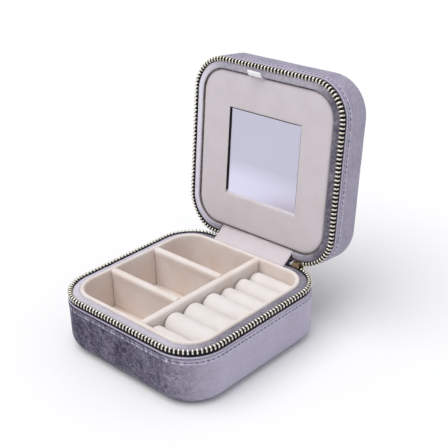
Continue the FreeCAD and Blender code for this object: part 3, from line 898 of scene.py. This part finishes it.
def swell(mesh, voxel, pressure, travel):
    """Remesh a closed form, run it as cloth under pressure and hold every point within a distance.
    The cloth is stiff for its size: it moves by less than a tenth of a millimetre."""
    scene = bpy.context.scene
    mesh.transform(Matrix.Scale(SOLVER_SCALE * MM, 4))
    blank = bpy.data.objects.new("swelling", mesh)
    scene.collection.objects.link(blank)
    remesh = blank.modifiers.new("remesh", "REMESH")
    remesh.mode = "VOXEL"
    remesh.voxel_size = voxel * SOLVER_SCALE * MM
    graph = bpy.context.evaluated_depsgraph_get()
    even = bpy.data.meshes.new_from_object(blank.evaluated_get(graph))
    blank.modifiers.clear()
    blank.data = even
    start = [vertex.co.copy() for vertex in even.vertices]
    cloth = blank.modifiers.new("cloth", "CLOTH")
    cloth.settings.quality = 6
    cloth.settings.use_pressure = True
    cloth.settings.uniform_pressure_force = pressure
    cloth.settings.effector_weights.gravity = 0
    cloth.point_cache.frame_start = 1
    cloth.point_cache.frame_end = 20
    for step in range(1, 21):
        scene.frame_set(step)
    graph = bpy.context.evaluated_depsgraph_get()
    swollen = bpy.data.meshes.new_from_object(blank.evaluated_get(graph))
    limit = travel * SOLVER_SCALE * MM
    for vertex, before in zip(swollen.vertices, start):
        move = vertex.co - before
        if move.length > limit:
            vertex.co = before + move.normalized() * limit
    swollen.transform(Matrix.Scale(1 / (SOLVER_SCALE * MM), 4))
    bpy.data.objects.remove(blank)
    scene.frame_set(1)
    return swollen


def ring_rolls():
    points, faces = plain_roll()
    pattern = make_mesh("roll_pattern", points, faces)
    pattern = swell(pattern, 0.8, 4.0, 0.5)
    set_tone(pattern, lambda point: 1.0)
    reach = max(vertex.co.y for vertex in pattern.vertices)
    far = max(vertex.co.x for vertex in pattern.vertices)
    index = 1
    while "ring_roll_%d" % index in frame["nodes"]:
        node = "ring_roll_%d" % index
        low, high = box_mm(node)
        low.x -= ROLL_TUCK
        middle = (low + high) / 2
        size = (high - low) / 2
        mesh = pattern.copy()
        mesh.name = "soft_roll_%d" % index
        mesh.transform(Matrix.Diagonal((size.x / far, size.y / reach, size.z / reach, 1)))
        mesh.transform(Matrix.Translation(middle))
        clip_to_tray(mesh)
        soften(mesh, 0.22, 9.0, 20 + index)
        mesh.shade_smooth()
        place_mesh(mesh, ROLL_CREAM, node, "base")
        index += 1


def clip_to_tray(mesh):
    """Press the roll's points back inside the tray wall where its corner is round."""
    inset = HALF - box_mm("tray_floor")[1].x
    radius = CORNER - inset
    for vertex in mesh.vertices:
        across = Vector((vertex.co.x - CENTRE, abs(vertex.co.y) - CENTRE))
        if across.x > 0 and across.y > 0 and across.length > radius:
            held = across.normalized() * radius
            vertex.co.x = CENTRE + held.x
            vertex.co.y = math.copysign(CENTRE + held.y, vertex.co.y)


ring_rolls()


# ---- mirror flap

PANEL_LOW, PANEL_HIGH = closed_box("mirror_panel")
GLASS_LOW, GLASS_HIGH = closed_box("mirror_glass")
WINDOW_HALF = GLASS_HIGH.x - 1.9
PANEL_INSET = HALF - PANEL_HIGH.x


def window_place(distance):
    """The point of the square window that faces a place on the outline."""
    quarter_length = 2 * CENTRE + CORNER * math.pi / 2
    quarter, along = divmod(distance + quarter_length / 2, quarter_length)
    share = 1 - 2 * along / quarter_length
    turn = Matrix.Rotation(quarter * math.pi / 2, 2)
    return turn @ Vector((WINDOW_HALF * share, WINDOW_HALF))


def mirror_panel():
    """A padded frame: share 0 is its outer edge and 1 the window's; depth is from its back."""
    thick = PANEL_HIGH.z - PANEL_LOW.z
    lip = GLASS_LOW.z - PANEL_LOW.z
    pocket = 1 - 2.0 / 19.0
    pocket_floor = thick - lip
    face = [(0.0, 0.5), (0.0, 1.2), (0.0, 2.0), (0.008, 2.45), (0.025, 2.75), (0.05, 2.94)]
    face += [(0.09, 3.04), (0.16, 3.08), (0.26, 3.09), (0.38, 3.08), (0.5, 3.07), (0.62, 3.06)]
    face += [(0.74, 3.05), (0.84, 3.03), (0.92, 3.0), (0.965, 2.95), (0.988, 2.84), (1.0, 2.62)]
    wall_row = len(face) - 1
    back = [(1.035, pocket_floor + 0.12), (1.035, pocket_floor), (pocket, pocket_floor)]
    back += [(pocket, 0.0), (0.5, 0.0), (0.02, 0.0)]
    quarter = 2 * CENTRE + CORNER * math.pi / 2
    count = 4 * 2 * round(quarter / 1.8 / 2)
    sections = []
    for index in range(count):
        distance = OUTLINE * index / count
        wall, out = wall_place(distance)
        rim = wall - out * PANEL_INSET
        opening = window_place(distance)
        section = []
        for share, depth in face + back:
            spot = rim.lerp(opening, share)
            section.append(Vector((spot.x, spot.y, PANEL_HIGH.z - depth)))
        sections.append(section)
    points, faces = loft(sections, True, True)
    mesh = make_mesh("mirror_panel_pad", points, faces, 0.05, 10.0, 12)
    rows = len(sections[0])
    # Painted shade: the window's wall, except at its foot, and the rows beside it on the left take the
    # near-black shade material
    shaded_recess = set()
    for number, polygon in enumerate(mesh.polygons):
        row = number % rows
        on_left = polygon.center.x < 0.9 - WINDOW_HALF
        on_foot = polygon.center.y > WINDOW_HALF - 0.9
        if (row == wall_row and not on_foot) or (row in (wall_row - 1, wall_row + 1) and on_left):
            shaded_recess.add(number)
    return mesh, shaded_recess


def flap_panel():
    """The panel with painted near-black shade on the wall of its window round the mirror."""
    mesh, shaded_recess = mirror_panel()
    panel = place_mesh(mesh, PANEL_CREAM, "mirror_panel", "mirror_flap", RECESS_SHADE)
    for number in shaded_recess:
        panel.data.polygons[number].material_index = 1
    return panel


def ribbon_tab():
    """A short satin ribbon that comes out of the gap above the panel and stands off the rim."""
    low, high = closed_box("pull_tab")
    path = [(-43.45, 34.6), (-43.5, 33.0), (-43.6, 31.6), (-43.85, 30.7), (-44.4, 29.95), (-45.2, 29.4),
            (-46.0, 29.05), (-46.8, 28.85)]
    thick = 0.32
    sections = []
    count = 16
    for index in range(count + 1):
        share = index / count
        x = low.x + (high.x - low.x) * share
        wave = 0.25 * math.sin(math.pi * 1.5 * share)
        upper = [Vector((x, y, z + wave * step / len(path))) for step, (y, z) in enumerate(path)]
        under = [Vector((x, y + thick * 0.5, z - thick + wave * step / len(path)))
                 for step, (y, z) in enumerate(path)]
        sections.append(upper + list(reversed(under)))
    points, faces = loft(sections, False, True)
    mesh = make_mesh("ribbon_tab", points, faces, 0.05, 4.0, 13)
    piece = place_mesh(mesh, RIBBON, "pull_tab", "mirror_flap")
    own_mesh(piece)
    return piece


def dressed(node, material, width, segments=2):
    """A hard CAD piece kept as it is, with its edges eased and a finish."""
    piece = frame["nodes"][node]
    piece.data.materials.clear()
    piece.data.materials.append(material)
    ease = piece.modifiers.new("ease", "BEVEL")
    ease.width = width * MM
    ease.segments = segments
    ease.limit_method = "ANGLE"
    return piece


flap_panel()
ribbon_tab()
glass_low, glass_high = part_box("mirror_glass")
dressed("mirror_glass", mirror_with_painted_reflection(glass_low.z, glass_high.z), 0.12)
dressed("mirror_backing", BOARD, 0.1)
dressed("base_core_board", BOARD, 0.1)
dressed("lid_core_board", BOARD, 0.1)


# ---- lid lining and frame

def lid_lining():
    """Cloth over the inside of the lid, seen when the mirror flap is opened."""
    low, high = closed_box("lid_lining")
    inset = HALF - high.x
    thick = 0.5
    top = high.z
    edge = 1.4
    rows = list(reversed(across_middle(top, 3)))
    rows += [((FLAT_INSET + inset + edge) / 2, top, 1)]
    rows += [(inset + edge - x, top - edge + z, 1) for x, z in arc(0, 0, edge, 90, 0, 4)]
    rows += [(inset, top - edge - (top - edge - low.z) * step / 4, 1) for step in range(1, 4)]
    inner = inset + thick
    rows += [(inset + 0.05, low.z + 0.1, 1), (inset + thick / 2, low.z, 1), (inner - 0.05, low.z + 0.1, 1)]
    rows += [(inner, low.z + (top - edge - low.z) * step / 8, 1) for step in range(1, 8)]
    rows += [(inset + edge - x, top - edge + z, 1) for x, z in arc(0, 0, edge - thick, 0, 90, 4)]
    rows += [((FLAT_INSET + inset + edge) / 2, top - thick, 1)]
    rows += across_middle(top - thick, 8)
    points, faces = bowl(lambda distance: rows, places_round(2.5))
    return make_mesh("lid_lining_cloth", points, faces, 0.05, 9.0, 14)


def lid_ledge():
    """The padded ledge that the mirror flap closes against."""
    low, high = closed_box("lid_frame")
    outer = HALF - high.x
    inner = outer + 6.0
    edge = 0.45
    pairs = [(outer + edge, high.z), (outer, high.z - edge), (outer, low.z + edge)]
    pairs += [(outer + edge, low.z), ((outer + inner) / 2, low.z - 0.02)]
    pairs += [(inner - x, low.z + edge - z) for x, z in ((edge, edge), (0.12, edge * 0.7), (0.0, 0.0))]
    pairs += [(inner, high.z - edge), (inner - edge, high.z)]
    points, faces = swept(lambda distance: pairs, places_round(2.2), True)
    return make_mesh("lid_frame_pad", points, faces, 0.04, 6.0, 15)


place_mesh(lid_lining(), CREAM, "lid_lining", "lid")
place_mesh(lid_ledge(), CREAM, "lid_frame", "lid")


# ---- hinge cloth

def cloth_sheet(name, path, half_width, thick, seed, softness, tone_at=None):
    """A sheet along X that follows a path in the YZ plane, given on its upper face."""
    spots = [Vector(spot) for spot in path]
    sections = []
    count = round(2 * half_width / 1.6)
    for index in range(count + 1):
        x = -half_width + 2 * half_width * index / count
        upper = []
        under = []
        for step, spot in enumerate(spots):
            along = spots[min(step + 1, len(spots) - 1)] - spots[max(step - 1, 0)]
            side = Vector((along.y, -along.x)).normalized()
            upper.append(Vector((x, spot.x, spot.y)))
            below = spot + side * thick
            under.append(Vector((x, below.x, below.y)))
        sections.append(upper + list(reversed(under)))
    points, faces = loft(sections, False, True)
    return make_mesh(name, points, faces, softness, 8.0, seed, tone_at)


def rest_spot(y, z):
    """A place on the closed lid, measured from the hinge line, as (y, z) at rest."""
    spot = OPENED @ (HINGE + Vector((0, y, z)))
    return spot.y, spot.z


def smooth_path(spots, steps):
    """A Catmull-Rom curve through the spots."""
    points = [Vector(spot) for spot in spots]
    padded = [2 * points[0] - points[1]] + points + [2 * points[-1] - points[-2]]
    curve = []
    for index in range(1, len(padded) - 2):
        p0, p1, p2, p3 = padded[index - 1:index + 3]
        for step in range(steps):
            t = step / steps
            curve.append(0.5 * ((2 * p1) + (p2 - p0) * t + (2 * p0 - 5 * p1 + 4 * p2 - p3) * t ** 2
                                + (3 * p1 - p0 - 3 * p2 + p3) * t ** 3))
    return curve + [points[-1]]


def lining_hinge():
    """Cream cloth from behind the tray up to the lower edge of the mirror panel."""
    low = box_mm("hinge_strip")[0]
    top_y, top_z = rest_spot(-6.4, 1.9)
    spots = [(low.y + 0.05, low.z), (low.y + 0.05, 28.5), (low.y + 0.1, 30.6), (low.y + 0.8, 31.55)]
    spots += [(low.y + 3.2, 32.9), (low.y + 6.2, 35.0), (top_y, top_z)]
    path = smooth_path(spots, 4)

    def shaded_by_panel(point):
        return 1 - 0.85 * max(0.0, 1 - (top_z - point.z) / 3.0)

    mesh = cloth_sheet("lining_hinge", path, STRIP_HALF, 0.45, 16, 0.12, shaded_by_panel)
    piece = place_mesh(mesh, PANEL_CREAM, "hinge_strip")
    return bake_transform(piece)


def outer_spine():
    """Velvet fold at the back that joins the two covers."""
    thick = 0.6
    outer = HALF - 0.08
    lid_y, lid_z = rest_spot(-0.08, 2.5)
    path = smooth_path([(outer, PARTING - 2.55), (outer, PARTING - 1.2), (outer + 0.02, PARTING - 0.25),
                        (outer + 0.35, PARTING - 0.02), (HALF + 1.3, PARTING - 0.1), (lid_y, lid_z)], 3)
    inner = list(reversed(path))

    # Painted shade: the spine's cloth darkens towards its ends, where they run in between the covers
    def shaded_at_ends(point):
        return 0.62 - 0.55 * max(0.0, 1 - (SPINE_HALF - abs(point.x)) / 3.0)

    mesh = cloth_sheet("velvet_spine", inner, SPINE_HALF, thick, 17, 0.04, shaded_at_ends)
    piece = place_mesh(mesh, VELVET, "spine")
    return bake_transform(piece)


lining_hinge()
outer_spine()


# ---- slider

dressed("slider_body", BRASS, 0.18, 3)
dressed("slider_pull", BRASS, 0.15, 3)


# ---- floor, light and camera

def pale_floor():
    reach = 20.0
    mesh = bpy.data.meshes.new("floor")
    corners = [(-reach, -reach, 0), (reach, -reach, 0), (reach, reach, 0), (-reach, reach, 0)]
    mesh.from_pydata(corners, [], [(0, 1, 2, 3)])
    shader = Shader("floor_paint")
    shader.colour(shader.ramp(shader.noise(2.0), (0.3, (0.93, 0.93, 0.93)), (0.7, (0.95, 0.95, 0.95))))
    shader.set(Roughness=0.9, Specular_IOR_Level=0.0)
    mesh.materials.append(shader.material)
    floor = bpy.data.objects.new("floor", mesh)
    floor.location.z = -0.0002
    bpy.context.scene.collection.objects.link(floor)


def studio_light():
    world = bpy.data.worlds.new("studio")
    world.use_nodes = True
    world.node_tree.nodes["Background"].inputs["Color"].default_value = (0.97, 0.98, 1.0, 1.0)
    world.node_tree.nodes["Background"].inputs["Strength"].default_value = 0.52
    bpy.context.scene.world = world
    sun = bpy.data.lights.new("key", "SUN")
    sun.energy = 1.9
    sun.angle = math.radians(60)
    key = bpy.data.objects.new("key", sun)
    aim = Vector((-0.12, -0.32, 0.94))
    key.rotation_mode = "QUATERNION"
    key.rotation_quaternion = aim.to_track_quat("Z", "Y")
    bpy.context.scene.collection.objects.link(key)


AZIMUTH = 43.38            # camera angles in degrees and distances in millimetres
ELEVATION = 25.97
ROLL = -1.62
DISTANCE = 439.94
TARGET = Vector((20.11, 5.09, 68.98))
FOCAL_LENGTH = 73.32       # on a 36 mm sensor
SENSOR = 36.0


def photo_camera():
    azimuth, elevation, roll = [math.radians(angle) for angle in (AZIMUTH, ELEVATION, ROLL)]
    level = math.cos(elevation)
    back = Vector((math.sin(azimuth) * level, -math.cos(azimuth) * level, math.sin(elevation)))
    right = (-back).cross(Vector((0, 0, 1))).normalized()
    up = back.cross(right)
    tilted_right = right * math.cos(roll) + up * math.sin(roll)
    tilted_up = up * math.cos(roll) - right * math.sin(roll)
    lens = bpy.data.cameras.new("photo")
    lens.lens = FOCAL_LENGTH
    lens.sensor_width = SENSOR
    lens.clip_start = 0.01
    lens.clip_end = 100.0
    camera = bpy.data.objects.new("photo", lens)
    turn = Matrix((tilted_right, tilted_up, back)).transposed()
    camera.matrix_world = Matrix.Translation((TARGET + back * DISTANCE) * MM) @ turn.to_4x4()
    bpy.context.scene.collection.objects.link(camera)
    bpy.context.scene.camera = camera


pale_floor()
studio_light()
photo_camera()
bpy.context.scene.view_settings.view_transform = "Standard"
